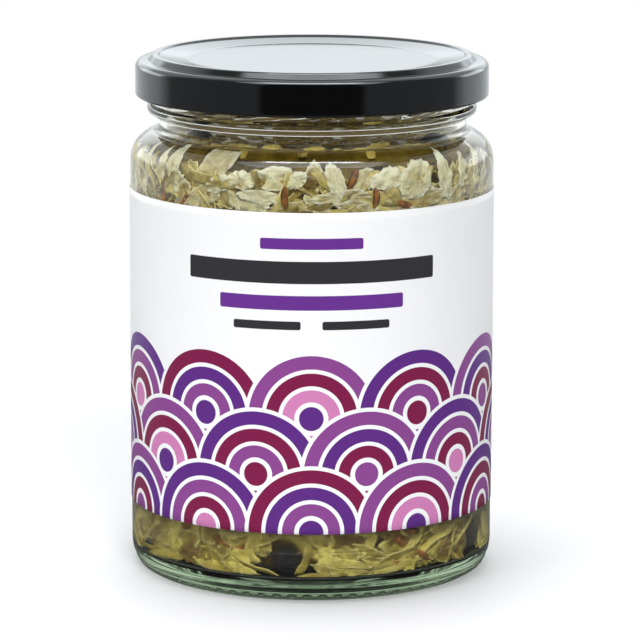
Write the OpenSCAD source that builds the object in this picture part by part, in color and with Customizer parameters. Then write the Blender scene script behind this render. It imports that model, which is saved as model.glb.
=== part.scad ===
// A round food jar with a lug finish, its twist-off metal lid, a wrap-round paper label and
// a filling of shredded cabbage in brine. Millimetres, +Z up, origin under the middle of the base.

/* [Glass body] */
// Outside diameter of the body
body_d = 87; // [72:0.5:106]
// Height of the glass from the table to the sealing rim
glass_h = 122.6; // [100:0.2:150]
// Wall thickness of the body
wall = 2.4; // [1.8:0.1:3]
// Thickness of the base in its middle
base_t = 3.8; // [3:0.1:5]
// Rise of the underside in its middle
push_up = 2.2; // [1:0.1:3]
// How far the heel curves in
heel_in = 3; // [2:0.1:4.5]
// How far up the wall the heel starts
heel_up = 6; // [4:0.1:9]
// Width of the bearing ring that the jar stands on
foot_w = 2.6; // [2:0.1:3.4]
// Height of the bearing ring under the heel
foot_h = 0.7; // [0.4:0.1:1.2]
// Radius of the shoulder
shoulder_r = 7; // [5.5:0.1:8.5]

/* [Finish] */
// How far the finish wall, without its threads, lies inside the body
shoulder_in = 5.1; // [4:0.1:12]
// Height of the finish, from the bead to the rim
finish_h = 11.4; // [10:0.1:13]
// Thickness of the finish wall at the rim
finish_wall = 3; // [2.6:0.1:3.4]
// How far the neck under the bead lies inside the finish wall
neck_in = 1.5; // [1:0.1:2]
// Height of the neck, from the shoulder to the middle of the bead
neck_h = 5.5; // [4.5:0.1:7]
// Number of thread starts, and of lugs on the lid
starts = 6; // [4:1:8]
// Height of a thread's crest over the finish wall
thread_out = 1.4; // [1:0.1:1.6]
// How far a thread drops from its start to its end
thread_drop = 4.2; // [3:0.1:5]
// Share of the pitch circle that each thread covers of its own sector
thread_share = 0.95; // [0.7:0.01:0.98]

/* [Lid] */
// Room between the finish wall and the lid's skirt
skirt_gap = 3.55; // [3.2:0.05:4.5]
// Height of the lid from its curl to its top
lid_h = 9.9; // [9:0.1:11]
// Thickness of the tinplate
sheet = 0.25; // [0.2:0.01:0.35]
// Thickness of the sealing compound between the rim and the lid
compound_t = 1.15; // [0.9:0.05:1.3]
// Depth of the panel inside the stacking ring
panel_drop = 0.85; // [0.6:0.05:1.1]
// Depth of the second step, nearer the middle
button_drop = 0.4; // [0.2:0.05:0.6]
// How far the second step lies inside the stacking ring
button_in = 5; // [2:0.1:9]
// Radius of the rolled curl's centre line
curl_r = 0.62; // [0.5:0.01:0.75]
// Width of each lug along the skirt
lug_w = 9.5; // [7:0.1:11]

/* [Label] */
// Height of the label's lower edge
label_z = 16.7; // [12:0.1:20]
// Bare glass between the label and the shoulder
label_clear = 6.4; // [3:0.1:20]
// Thickness of the paper
paper_t = 0.12; // [0.08:0.01:0.2]
// Thickness of the glue under it
glue_t = 0.05; // [0.02:0.01:0.1]
// Width of the bare glass between the label's ends, at the back
label_gap = 12; // [4:1:60]

/* [Filling] */
// Headspace from the brine to the rim
headspace = 18.8; // [13:0.1:22]
// Gap between the filling and the glass
fill_gap = 0.15; // [0.1:0.05:0.3]
// Number of cabbage shreds that break the surface
shreds = 26; // [12:1:34]
// Width of a shred
shred_w = 2.4; // [1.6:0.1:3]
// Thickness of a shred
shred_t = 0.9; // [0.6:0.1:1.2]
// Seed of the shreds' places
shred_seed = 7; // [1:1:50]
// Diameter of a juniper berry
berry_d = 7; // [5.6:0.1:8.4]

/* [Hidden] */
$fn = 128;

body_r = body_d / 2;
finish_r = body_r - shoulder_in;
neck_r = finish_r - neck_in;
bore_r = finish_r - finish_wall;
neck_bore_r = neck_r - wall + 0.1;
root_r = 1;                                  // inside corner between the shoulder and the neck
bead_z = glass_h - finish_h;
root_z = bead_z - neck_h + root_r;
root_at = neck_r + root_r - (body_r - shoulder_r);
shoulder_end = acos(max(0, min(0.9, root_at / shoulder_r)));
shoulder_z = root_z - root_r - shoulder_r * sin(shoulder_end);
inner_end = acos(max(0, min(0.9, (root_at - 0.15) / (shoulder_r - wall))));
cavity_r = body_r - wall;
corner_r = 3.2;                              // inside corner between the wall and the floor
floor_z = push_up + base_t - 1;              // floor at its edge, 1 mm under its middle
foot_r = body_r - heel_in - 0.3;             // outside of the bearing ring
lid_r = finish_r + skirt_gap + sheet;
lid_top = glass_h + compound_t + sheet;
lid_foot = lid_top - lid_h;
ring_out = finish_r + 0.9;                   // stacking ring, over the sealing rim
ring_in = finish_r - 1.9;
button_r = ring_in - button_in;
lug_top = lid_foot + 1.4;
thread_half = 1;                             // half the thread's height at the wall
thread_sweep = 360 / starts * thread_share;
thread_tilt = asin(thread_drop / 2 / (finish_r * sin(thread_sweep / 2)));
lug_from = thread_sweep * 0.22;              // from the thread's middle to its lug's near end
lug_gap = 0.3;                               // room between a lug and the thread over it
thread_z = lug_top + thread_half * 0.3 + lug_gap - finish_r * sin(lug_from) * sin(thread_tilt);
level = glass_h - headspace;
// Where two berries float: the direction, and the share of the way out to the neck
BERRIES = [for (b = [[174, 0.87], [-25, 1]])
    (neck_bore_r - berry_d / 2) * b[1] * [cos(b[0]), sin(b[0])]];
berry_z = level + 0.2;
label_h = shoulder_z - label_clear - label_z;

// Middle of thread k round the rim
function thread_angle(k) = -29.5 + 360 / starts * k;

function unit(v) = v / norm(v);

function reversed(list) = [for (i = [len(list) - 1:-1:0]) list[i]];

// The fillet that replaces corner b of the line a, b, c. Its radius is limited by the two sides.
function corner(a, b, c, radius, n = 6) =
    let (
        u = unit(a - b),
        v = unit(c - b),
        half = acos(max(-1, min(1, u * v))) / 2,
        reach = min(radius / tan(half), norm(a - b) / 2.01, norm(c - b) / 2.01),
        centre = b + unit(u + v) * reach / cos(half),
        from = b + u * reach - centre,
        turn = (u[0] * v[1] - u[1] * v[0] > 0 ? -1 : 1) * (180 - 2 * half)
    )
    [for (i = [0:n]) let (t = turn * i / n)
        centre + [from[0] * cos(t) - from[1] * sin(t), from[0] * sin(t) + from[1] * cos(t)]];

// A line through points [r, z, fillet radius], with its corners rounded
function rounded(p) = [
    for (i = [0:len(p) - 1])
        let (here = [p[i][0], p[i][1]])
        each (i == 0 || i == len(p) - 1 || p[i][2] == 0)
            ? [here]
            : corner([p[i - 1][0], p[i - 1][1]], here, [p[i + 1][0], p[i + 1][1]], p[i][2])
];

function arc(centre, radius, from, to, n = 8) = [
    for (i = [0:n])
        let (t = from + (to - from) * i / n)
        centre + radius * [cos(t), sin(t)]
];

// A strip of constant thickness along a line, as one closed outline
function strip(line, t) =
    let (
        last = len(line) - 1,
        side = [for (i = [0:last])
            let (d = unit(line[min(i + 1, last)] - line[max(i - 1, 0)])) [-d[1], d[0]] * t / 2]
    )
    concat([for (i = [0:last]) line[i] + side[i]], [for (i = [last:-1:0]) line[i] - side[i]]);

// Outside of the glass, from the middle of the underside up to the rim
function glass_outside() = concat(
    rounded([
        [0, push_up, 0],
        [foot_r * 0.5, push_up * 0.9, 40],
        [foot_r - foot_w - 0.8, foot_h * 0.8, 3],
        [foot_r - foot_w, 0, 0.5],
        [foot_r, 0, 0.5],
        [body_r - heel_in, foot_h, 0]
    ]),
    [for (t = [9:9:90]) [
        body_r - heel_in * (1 - sin(t)),
        foot_h + heel_up * (1 - cos(t))
    ]],
    arc([body_r - shoulder_r, shoulder_z], shoulder_r, 0, shoulder_end, 14),
    arc([neck_r + root_r, root_z], root_r, 262, 186, 6),
    rounded([
        [neck_r, root_z + 0.3, 0],
        [neck_r + 0.1, bead_z - 2.4, 3],
        [finish_r + 0.95, bead_z - 0.9, 0.9],
        [finish_r + 0.95, bead_z + 0.7, 0.7],
        [finish_r, bead_z + 1.4, 0.6],
        [finish_r, glass_h, 0.9],
        [bore_r + 1.5, glass_h, 0]
    ])
);

// Inside of the glass, from the middle of the floor up to the rim, moved inwards by gap
function glass_inside(gap = 0) = concat(
    [for (k = [0:6]) let (r = (cavity_r - corner_r) * k / 6)
        [r, floor_z + gap + 1 - pow(k / 6, 2)]],
    arc([cavity_r - corner_r, floor_z + corner_r], corner_r - gap, 280, 360, 8),
    arc([body_r - shoulder_r, shoulder_z], shoulder_r - wall - gap, 0, inner_end, 12),
    arc([neck_r + root_r, root_z], neck_r + root_r - neck_bore_r + gap, 250, 184, 8),
    rounded([
        [neck_bore_r - gap, root_z + 0.2, 0],
        [bore_r - gap, glass_h - 2, 6],
        [bore_r - gap, glass_h, 1],
        [bore_r + 1.4, glass_h, 0]
    ])
);

// Middle of the tinplate, from the centre of the panel out and down to the end of the curl
function lid_line() =
    let (
        half = sheet / 2,
        skirt = lid_r - half,
        top = lid_top - half,
        curl_z = lid_foot + half + curl_r
    )
    concat(
        rounded([
            [0, top - panel_drop - button_drop, 0],
            [button_r - 0.4, top - panel_drop - button_drop, 0.6],
            [button_r + 0.4, top - panel_drop, 0.6],
            [ring_in - 0.25, top - panel_drop, 0.45],
            [ring_in + 0.15, top, 0.5],
            [ring_out - 0.8, top, 0.8],
            [ring_out, top - 2.2, 0.5],
            [skirt, top - 2.2, 2],
            [skirt, curl_z + 0.4, 0]
        ]),
        arc([skirt - curl_r, curl_z], curl_r, 0, -255, 12)
    );

module glass_thread() {
    // A level ridge of the right sweep, tilted about its middle, follows the thread's helix closely.
    rotate([thread_tilt, 0, 0])
    rotate([0, 0, -thread_sweep / 2])
    rotate_extrude(angle = thread_sweep)
        polygon([
            [finish_r - 1, -thread_half * 1.5],
            [finish_r + thread_out, -thread_half * 0.3],
            [finish_r + thread_out, thread_half * 0.2],
            [finish_r - 1, thread_half * 1.57]
        ]);
}

module jar() {
    color([0.80, 0.90, 0.84, 0.45]) {
        rotate_extrude() polygon(concat(glass_outside(), reversed(glass_inside())));
        // The lid's lugs hook under the upper half of these threads.
        for (k = [0:starts - 1])
            rotate([0, 0, thread_angle(k)])
                translate([0, 0, thread_z]) glass_thread();
    }
}

module lid() {
    color([0.06, 0.06, 0.07]) {
        rotate_extrude() polygon(strip(lid_line(), sheet));
        // Lugs pressed in from the curl, one drawn up against the underside of each thread
        lug_sweep = lug_w / lid_r * 180 / PI;
        for (k = [0:starts - 1])
            rotate([0, 0, thread_angle(k) + lug_from])
                rotate_extrude(angle = lug_sweep)
                    polygon(rounded([
                        [lid_r - sheet - curl_r * 1.4, lid_foot + 0.2, 0],
                        [finish_r + 0.7, lid_foot + 0.35, 0.3],
                        [finish_r + 0.7, lug_top - 0.35, 0.3],
                        [finish_r + 1.4, lug_top, 0.3],
                        [lid_r - sheet - curl_r * 0.9, lug_top - 0.05, 0]
                    ]));
    }
}

module gasket() {
    // Flowed-in sealing compound that fills the stacking ring down to the rim
    color([0.82, 0.80, 0.76])
        rotate_extrude()
            polygon([
                [ring_in + 0.4, glass_h],
                [finish_r + 0.2, glass_h],
                [finish_r + 0.1, glass_h + compound_t - 0.4],
                [finish_r - 0.3, glass_h + compound_t - 0.05],
                [ring_in + 0.6, glass_h + compound_t - 0.05],
                [ring_in + 0.4, glass_h + compound_t - 0.4]
            ]);
}

module label() {
    inner = body_r + glue_t;
    bare = label_gap / body_r * 180 / PI;
    color([0.95, 0.95, 0.96])
        rotate([0, 0, 90 + bare / 2])
            rotate_extrude(angle = 360 - bare)
                translate([inner, label_z]) square([paper_t, label_h]);
}

// A shred: a flat ribbon bent to an arc and lying just proud of the brine
module shred(bend, sweep) {
    w = shred_w / 2;
    t = shred_t / 2;
    rotate_extrude(angle = sweep)
        translate([bend, 0])
            polygon([[-w, -t * 0.4], [-w * 0.7, -t], [w * 0.7, -t], [w, -t * 0.4],
                     [w, t * 0.4], [w * 0.7, t], [-w * 0.7, t], [-w, t * 0.4]]);
}

module surface_shreds() {
    dice = rands(0, 1, shreds * 5, shred_seed);
    reach = neck_bore_r - 1.5 - shred_w / 2;
    for (k = [0:shreds - 1]) {
        bend = 3.5 + 5 * dice[5 * k];
        out = (reach - bend) * sqrt((k + 0.5) / shreds);
        around = 137.5 * k;
        sweep = 60 + 90 * dice[5 * k + 1];
        turn = 360 * dice[5 * k + 2];
        tilt = 9 - 18 * dice[5 * k + 3];
        // The middle of every shred is half sunk in the brine, whichever way it tilts.
        sunk = 0.3 * shred_t * dice[5 * k + 4] - bend * sin(sweep / 2) * sin(tilt);
        // A shred that would lie under a floating berry has been pushed aside by it.
        centre = out * [cos(around), sin(around)];
        apart = min([for (at = BERRIES) abs(norm(centre - at) - bend)]);
        if (apart > (berry_d + shred_w) / 2 + fill_gap)
            translate([centre[0], centre[1], level + sunk]) rotate([tilt, 0, turn]) shred(bend, sweep);
    }
}

module sauerkraut() {
    color([0.72, 0.68, 0.42])
        difference() {
            union() {
                intersection() {
                    rotate_extrude() polygon(concat(glass_inside(fill_gap), [[0, glass_h]]));
                    cylinder(r = body_r, h = level);
                }
                surface_shreds();
            }
            for (at = BERRIES)
                translate([at[0], at[1], berry_z]) sphere(d = berry_d + 2 * fill_gap);
        }
}

// A juniper berry: a ball with the three-armed seam where its scales have grown together
module juniper(at, turn) {
    color([0.10, 0.09, 0.14])
        translate([at[0], at[1], berry_z])
            rotate([25, 10, turn])
                difference() {
                    sphere(d = berry_d);
                    for (k = [0:2])
                        rotate([0, 0, 120 * k])
                            translate([0, -0.15, berry_d / 2 - 0.35]) cube([berry_d * 0.28, 0.3, 1]);
                }
}

jar();
lid();
gasket();
label();
sauerkraut();
juniper(BERRIES[0], 15);  // juniper_1
juniper(BERRIES[1], 70);  // juniper_2
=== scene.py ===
"""A jar of sauerkraut with its lid on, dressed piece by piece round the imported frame.

Sizes are in millimetres unless a name says otherwise. +Z is up and the label faces -Y.
"""

import bpy
import numpy as np
from mathutils import Matrix, Vector


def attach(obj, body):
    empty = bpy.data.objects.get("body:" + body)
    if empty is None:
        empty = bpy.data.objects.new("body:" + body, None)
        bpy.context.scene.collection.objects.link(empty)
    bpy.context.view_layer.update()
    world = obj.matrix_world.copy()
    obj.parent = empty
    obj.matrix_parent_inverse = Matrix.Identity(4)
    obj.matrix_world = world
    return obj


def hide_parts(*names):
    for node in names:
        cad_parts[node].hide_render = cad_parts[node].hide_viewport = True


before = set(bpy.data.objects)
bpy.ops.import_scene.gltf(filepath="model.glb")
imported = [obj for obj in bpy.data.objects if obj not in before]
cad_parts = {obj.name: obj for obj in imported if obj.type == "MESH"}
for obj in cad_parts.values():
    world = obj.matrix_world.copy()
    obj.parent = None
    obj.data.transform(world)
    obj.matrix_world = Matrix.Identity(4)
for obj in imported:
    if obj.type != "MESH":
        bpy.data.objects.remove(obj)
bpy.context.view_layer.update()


# ---------------------------------------------------------------- Glass jar
# Flint glass with a faint green cast, blown in a two-part mould. The finish has six short
# threads over a bead, and the jar stands on a knurled ring. Its wall is 2.4 mm thick.
MM = 0.001
BODY_R, GLASS_H, WALL = 43.5, 122.6, 2.4
FINISH_R, NECK_R, BORE_R, NECK_BORE_R = 38.4, 36.9, 35.4, 34.6
BEAD_Z, ROOT_Z, SHOULDER_Z, SHOULDER_R = 111.2, 106.7, 98.84, 7.0
CAVITY_R, FLOOR_Z, CORNER_R, PUSH_UP = 41.1, 5.0, 3.2, 2.2
FOOT_OUT, FOOT_IN, FOOT_H = 40.2, 37.6, 0.7
STARTS, THREAD_SWEEP, THREAD_OUT, THREAD_Z = 6, np.radians(57), 1.4, 115.15
THREAD_RISE, THREAD_FROM = 2.1, np.radians(-29.5)
KNURLS, GLASS_COLUMNS, ARCH_TOP, ARCH_DROP = 73, 365, 3.5, 7.5
MARK_Z, MARK_HALF = 12.1, 14.0


def rounded(corners, steps=6):
    """A line through corners [r, z, radius], each replaced by the arc that touches both sides."""
    line = [np.array(corners[0][:2], float)]
    for before, here, after in zip(corners, corners[1:], corners[2:]):
        a, b, c = (np.array(p[:2], float) for p in (before, here, after))
        if here[2] == 0:
            line.append(b)
            continue
        u, v = (a - b) / np.linalg.norm(a - b), (c - b) / np.linalg.norm(c - b)
        half = np.arccos(np.clip(u @ v, -1, 1)) / 2
        reach = min(here[2] / np.tan(half), np.linalg.norm(a - b) / 2.01, np.linalg.norm(c - b) / 2.01)
        centre = b + (u + v) / np.linalg.norm(u + v) * reach / np.cos(half)
        start = b + u * reach - centre
        turn = (-1 if u[0] * v[1] > u[1] * v[0] else 1) * (np.pi - 2 * half)
        t = turn * np.linspace(0, 1, steps + 1)
        x = start[0] * np.cos(t) - start[1] * np.sin(t)
        line.extend(centre + np.stack([x, start[0] * np.sin(t) + start[1] * np.cos(t)], 1))
    line.append(np.array(corners[-1][:2], float))
    return np.array(line)


def arc(centre, radius, start, stop, steps):
    """Points [r, z] on a circle round centre, from one angle to another in degrees."""
    t = np.radians(np.linspace(start, stop, steps + 1))
    return np.array(centre, float) + radius * np.stack([np.cos(t), np.sin(t)], 1)


def graded(line, longest):
    """The line with its long sides cut up, and a short step beside each end so that bends stay local."""
    out = [line[:1]]
    for a, b in zip(line[:-1], line[1:]):
        length = np.linalg.norm(b - a)
        cuts = np.linspace(0, 1, int(np.ceil(length / longest)) + 1)
        if length > longest:
            cuts = np.unique(np.concatenate([cuts, [0.3 / length, 1 - 0.3 / length]]))
        out.append(a + (b - a) * cuts[1:, None])
    return np.concatenate(out)


def smooth(x):
    """0 below 0, 1 above 1, and an S curve between."""
    x = np.clip(x, 0, 1)
    return x * x * (3 - 2 * x)


def turned(profile, columns, shape=None):
    """Points and faces of a profile [r, z] turned about Z. Each point is (r cos a, r sin a, z).

    shape(a, r, z) may move r and z. A profile that ends on the axis gets one point at each end
    of it, and any other is closed on itself.
    """
    angle = np.arange(columns) * 2 * np.pi / columns
    capped = profile[0, 0] < 1e-6
    body = profile[1:-1] if capped else profile
    r = np.repeat(body[:, :1], columns, 1)
    z = np.repeat(body[:, 1:], columns, 1)
    if shape:
        r, z = shape(angle[None, :] + 0 * r, r, z)
    points = np.stack([r * np.cos(angle), r * np.sin(angle), z], -1).reshape(-1, 3)
    index = np.arange(len(points)).reshape(len(body), columns)
    beside = np.roll(index, -1, axis=1)
    low, high = (slice(0, -1), slice(1, None)) if capped else (slice(None), slice(None))
    above, above_beside = (index, beside) if capped else (np.roll(index, -1, 0), np.roll(beside, -1, 0))
    quads = np.stack([index[low], beside[low], above_beside[high], above[high]], -1).reshape(-1, 4)
    faces = [quads]
    if capped:
        ends = np.array([[0, 0, profile[0, 1]], [0, 0, profile[-1, 1]]])
        first, last = np.full(columns, len(points)), np.full(columns, len(points) + 1)
        points = np.concatenate([points, ends])
        faces.append(np.stack([first, beside[0], index[0]], -1))
        faces.append(np.stack([last, index[-1], beside[-1]], -1))
    return points, faces


def make_piece(name, points, faces, material, slot, **values):
    """A smooth-shaded piece from points in millimetres, arrays of faces and values for each point."""
    mesh = bpy.data.meshes.new(name)
    sizes = np.concatenate([np.full(len(f), f.shape[1]) for f in faces])
    corners = np.concatenate([f.ravel() for f in faces]).astype(np.int32)
    mesh.vertices.add(len(points))
    mesh.vertices.foreach_set("co", (points * MM).astype(np.float32).ravel())
    mesh.loops.add(len(corners))
    mesh.loops.foreach_set("vertex_index", corners)
    mesh.polygons.add(len(sizes))
    mesh.polygons.foreach_set("loop_start", (np.cumsum(sizes) - sizes).astype(np.int32))
    mesh.polygons.foreach_set("use_smooth", np.ones(len(sizes), bool))
    for key, value in values.items():
        kind, field = ("FLOAT", "value") if value.ndim == 1 else ("FLOAT_VECTOR", "vector")
        mesh.attributes.new(key, kind, "POINT").data.foreach_set(field, value.astype(np.float32).ravel())
    mesh.update(calc_edges=True)
    mesh.validate()
    mesh.materials.append(material)
    piece = bpy.data.objects.new(name, mesh)
    bpy.context.scene.collection.objects.link(piece)
    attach(piece, "root")
    return piece


def new_material(name, **inputs):
    """A material with its tree and Principled shader, whose inputs are set by their names."""
    material = bpy.data.materials.new(name)
    material.use_nodes = True
    tree = material.node_tree
    shader = tree.nodes["Principled BSDF"]
    for key, value in inputs.items():
        shader.inputs[key.replace("_", " ")].default_value = value
    return material, tree, shader


def put(tree, kind, links=(), **settings):
    """A node of a kind in a tree. links gives (input, value or socket) pairs, settings its fields."""
    node = tree.nodes.new("ShaderNode" + kind)
    for key, value in settings.items():
        setattr(node, key, value)
    for key, value in links:
        if isinstance(value, bpy.types.NodeSocket):
            tree.links.new(value, node.inputs[key])
        else:
            node.inputs[key].default_value = value
    return node


def calc(tree, operation, a, b=0.0, c=0.0):
    """The result of a Math node on numbers or sockets."""
    return put(tree, "Math", [(0, a), (1, b), (2, c)], operation=operation).outputs[0]


def lets_lamps_through(tree, shader, tint):
    """The shader, except to shadow rays, which pass straight through with a tint."""
    path = put(tree, "LightPath")
    clear = put(tree, "BsdfTransparent", [(0, tint)])
    both = put(tree, "MixShader", [(0, path.outputs["Is Shadow Ray"]), (1, shader.outputs[0]),
                                   (2, clear.outputs[0])])
    tree.links.new(both.outputs[0], tree.nodes["Material Output"].inputs["Surface"])


def glass_inside(gap):
    """The inside of the glass as a line [r, z] from the floor up to the rim, moved inwards by gap."""
    k = np.linspace(0, 1, 9)
    floor = np.stack([(CAVITY_R - CORNER_R) * k, FLOOR_Z + gap + 1 - k ** 2], 1)
    return np.concatenate([
        floor,
        arc([CAVITY_R - CORNER_R, FLOOR_Z + CORNER_R], CORNER_R - gap, 280, 360, 10),
        arc([BODY_R - SHOULDER_R, SHOULDER_Z], SHOULDER_R - WALL - gap, 0, 74, 16),
        arc([NECK_R + 1, ROOT_Z], NECK_R + 1 - NECK_BORE_R + gap, 250, 184, 12),
        rounded([[NECK_BORE_R - gap, ROOT_Z + 0.2, 0], [BORE_R - gap, GLASS_H - 2, 6],
                 [BORE_R - gap, GLASS_H, 1], [BORE_R + 1.4, GLASS_H, 0]]),
    ])


t = np.radians(np.concatenate([np.arange(6, 36, 3), np.arange(36, 54, 4.5), np.arange(54, 91, 9)]))
heel = np.stack([BODY_R - 3 * (1 - np.sin(t)), FOOT_H + 6 * (1 - np.cos(t))], 1)
outside = np.concatenate([
    rounded([[0, PUSH_UP, 0], [FOOT_OUT / 2, PUSH_UP * 0.9, 40], [FOOT_IN - 0.8, 0.55, 3],
             [FOOT_IN, 0, 0.5], [FOOT_OUT, 0, 0.5], [BODY_R - 3, FOOT_H, 0]]),
    heel,
    arc([BODY_R - SHOULDER_R, SHOULDER_Z], SHOULDER_R, 0, 76.5, 20),
    arc([NECK_R + 1.6, ROOT_Z + 0.5], 1.6, 256.5, 186, 10),
    rounded([[NECK_R, ROOT_Z + 0.8, 0], [NECK_R + 0.15, BEAD_Z - 1.5, 0.9],
             [FINISH_R + 0.95, BEAD_Z - 0.9, 0.9], [FINISH_R + 0.95, BEAD_Z + 0.7, 0.7],
             [FINISH_R, BEAD_Z + 1.4, 0.6], [FINISH_R, GLASS_H, 0.9], [BORE_R + 1.5, GLASS_H, 0]]),
])
foot = (outside[:, 1] < 0.8) & (outside[:, 0] > FOOT_IN - 1)
finish = (outside[:, 1] > BEAD_Z + 1.2) & (outside[:, 0] > FINISH_R - 0.01)
bottom = graded(outside[:np.argmax(foot) + 1], 1.7)
ring = graded(outside[foot], 0.55)
middle = outside[np.nonzero(foot)[0][-1]:np.argmax(finish) + 1]
wall_at = np.argmax(middle[:, 1] > MARK_Z)
MARK_ROWS, MARK_REACH = 11, 0.88
marks = np.stack([np.full(MARK_ROWS, BODY_R),
                  np.linspace(MARK_Z - MARK_REACH, MARK_Z + MARK_REACH, MARK_ROWS)], 1)
middle = graded(np.concatenate([middle[:wall_at], marks, middle[wall_at:]]), 16)
threads = graded(outside[finish], 0.38)
top = outside[np.nonzero(finish)[0][-1]:]
inside = graded(glass_inside(0), 16)[::-1]
jar_line = np.concatenate([bottom, ring[1:], middle[1:], threads[1:], top[1:], inside])


def jar_shape(a, r, z):
    """Adds the threads, r + height x S curve of the distance from each helix, and the finer marks.

    Those are the knurls and the groove over them at the foot, rings underneath, and the mould's line.
    """
    phase = (a - THREAD_FROM + THREAD_SWEEP / 2) % (2 * np.pi / STARTS) - THREAD_SWEEP / 2
    centre = THREAD_Z + THREAD_RISE * np.sin(phase) / np.sin(THREAD_SWEEP / 2)
    off = z - centre
    flank = smooth(1 - np.maximum((-off - 0.3) / 0.75, (off - 0.2) / 0.85))
    ends = smooth((THREAD_SWEEP / 2 - np.abs(phase)) / np.radians(2.5))
    outer = (r > FINISH_R - 0.01) & (z > BEAD_Z + 0.9) & (z < GLASS_H - 1)
    wall_r = np.where(outer, np.maximum(r, FINISH_R + THREAD_OUT * flank * ends), r)
    # Each knurl is a scallop that stands 0.17 mm out of the slope round the foot, under an arch.
    cell = (a * KNURLS / (2 * np.pi)) % 1 - 0.5
    up = r - FOOT_OUT + z
    scallop = smooth((ARCH_TOP + 0.5 - ARCH_DROP * cell ** 2 - up) / 1.2) * smooth((up - 0.7) / 0.5)
    scallop = scallop * (z < 4) * (r > FOOT_OUT - 0.1)
    rings = 0.2 * np.sin(1.35 * r) * smooth((FOOT_IN - 2 - r) / 2) * smooth(r / 6) * (z < PUSH_UP + 0.3)
    # The mould left a fine line in front, with a tick at each end, as a notch with 52 degree sides.
    x = BODY_R * (a - 1.5 * np.pi)
    line = np.clip(1 - np.abs(z - MARK_Z) / 0.32, 0, 1) * smooth((MARK_HALF - np.abs(x)) / 0.6 + 1)
    ticks = smooth(1.5 - np.abs(np.abs(x) - MARK_HALF) / 0.35) * smooth((0.75 - np.abs(z - MARK_Z)) / 0.12)
    mark = 0.41 * np.maximum(line, ticks) * (wall_r > BODY_R - 0.01) * (np.abs(z - MARK_Z) < 1)
    # A groove parts the knurled foot from the side.
    groove = 0.25 * np.clip(1 - np.abs(z - 3.1) / 0.45, 0, 1) * (r > FOOT_OUT + 0.5)
    return (wall_r - mark - groove + 0.12 * scallop,
            np.maximum(z - 0.12 * scallop, np.minimum(z, 0.05)) + rings)


flint, tree, shader = new_material("flint glass", Base_Color=(1, 1, 1, 1), Roughness=0.0, IOR=1.5,
                                   Transmission_Weight=1.0)
place = put(tree, "TexCoord")
mottle = put(tree, "TexNoise", [("Vector", place.outputs["Object"]), ("Scale", 60.0), ("Detail", 1.0)])
seed = put(tree, "Bump", [("Strength", 0.25), ("Distance", 0.0004), ("Height", mottle.outputs[0])])
# The rim of each knurl is too fine for the mesh, so it is a raised line along the same arch.
axis = put(tree, "SeparateXYZ", [(0, place.outputs["Object"])])
bearing = calc(tree, "ARCTAN2", axis.outputs[1], axis.outputs[0])
cell = calc(tree, "FRACT", calc(tree, "MULTIPLY", bearing, KNURLS / (2 * np.pi)))
cell = calc(tree, "SUBTRACT", cell, 0.5)
round_axis = calc(tree, "SQRT", calc(tree, "MULTIPLY_ADD", axis.outputs[0], axis.outputs[0],
                                     calc(tree, "MULTIPLY", axis.outputs[1], axis.outputs[1])))
up = calc(tree, "SUBTRACT", calc(tree, "ADD", round_axis, axis.outputs[2]), (FOOT_OUT + ARCH_TOP) * MM)
arch = calc(tree, "MULTIPLY_ADD", calc(tree, "MULTIPLY", cell, cell), ARCH_DROP * MM, up)
rim_line = put(tree, "MapRange", [("Value", calc(tree, "ABSOLUTE", arch)), ("From Min", 0.0),
                                  ("From Max", 0.5 * MM), ("To Min", 1.0), ("To Max", 0.0)],
               interpolation_type="SMOOTHSTEP")
low_down = calc(tree, "MULTIPLY", calc(tree, "LESS_THAN", axis.outputs[2], 4 * MM),
                calc(tree, "GREATER_THAN", round_axis, (FOOT_OUT + 0.3) * MM))
rims = put(tree, "Bump", [("Strength", 1.0), ("Distance", 0.24 * MM), ("Normal", seed.outputs[0]),
                          ("Height", calc(tree, "MULTIPLY", rim_line.outputs[0], low_down))])
tree.links.new(rims.outputs[0], shader.inputs["Normal"])
tint = put(tree, "VolumeAbsorption", [("Color", (0.42, 0.62, 0.42, 1)), ("Density", 22.0)])
tree.links.new(tint.outputs[0], tree.nodes["Material Output"].inputs["Volume"])
lets_lamps_through(tree, shader, (0.99, 1.0, 0.99, 1))

jar = make_piece("glass_jar", *turned(jar_line, GLASS_COLUMNS, jar_shape), flint, "glass")
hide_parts("jar")


# ---------------------------------------------------------------- Brine
# Cloudy yellow-green brine from the fermenting cabbage. It fills the jar up to the shoulder,
# wets the glass all round, and climbs it a little at the edge.
LEVEL = 103.8
wet = glass_inside(-0.2)
wet = wet[:np.argmax(wet[:, 1] > LEVEL + 0.6)]
meniscus = np.array([[35.5, LEVEL + 0.7], [35.1, LEVEL + 0.32], [34.4, LEVEL + 0.1],
                     [33.2, LEVEL + 0.02], [32, LEVEL]])
still = np.stack([np.linspace(30, 0, 9), np.full(9, LEVEL)], 1)
brine_line = np.concatenate([graded(wet, 6), meniscus, still])


def brine_shape(a, r, z):
    """Leaves the wetted sides alone and gives the free surface low ripples."""
    free = (z > LEVEL - 0.05) & (r < 34.5)
    ripple = 0.10 * np.sin(3 * a + r * 0.31) + 0.07 * np.sin(7 * a - r * 0.55 + 1.3)
    return r, z + np.where(free, ripple * smooth(r / 8), 0)


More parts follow.
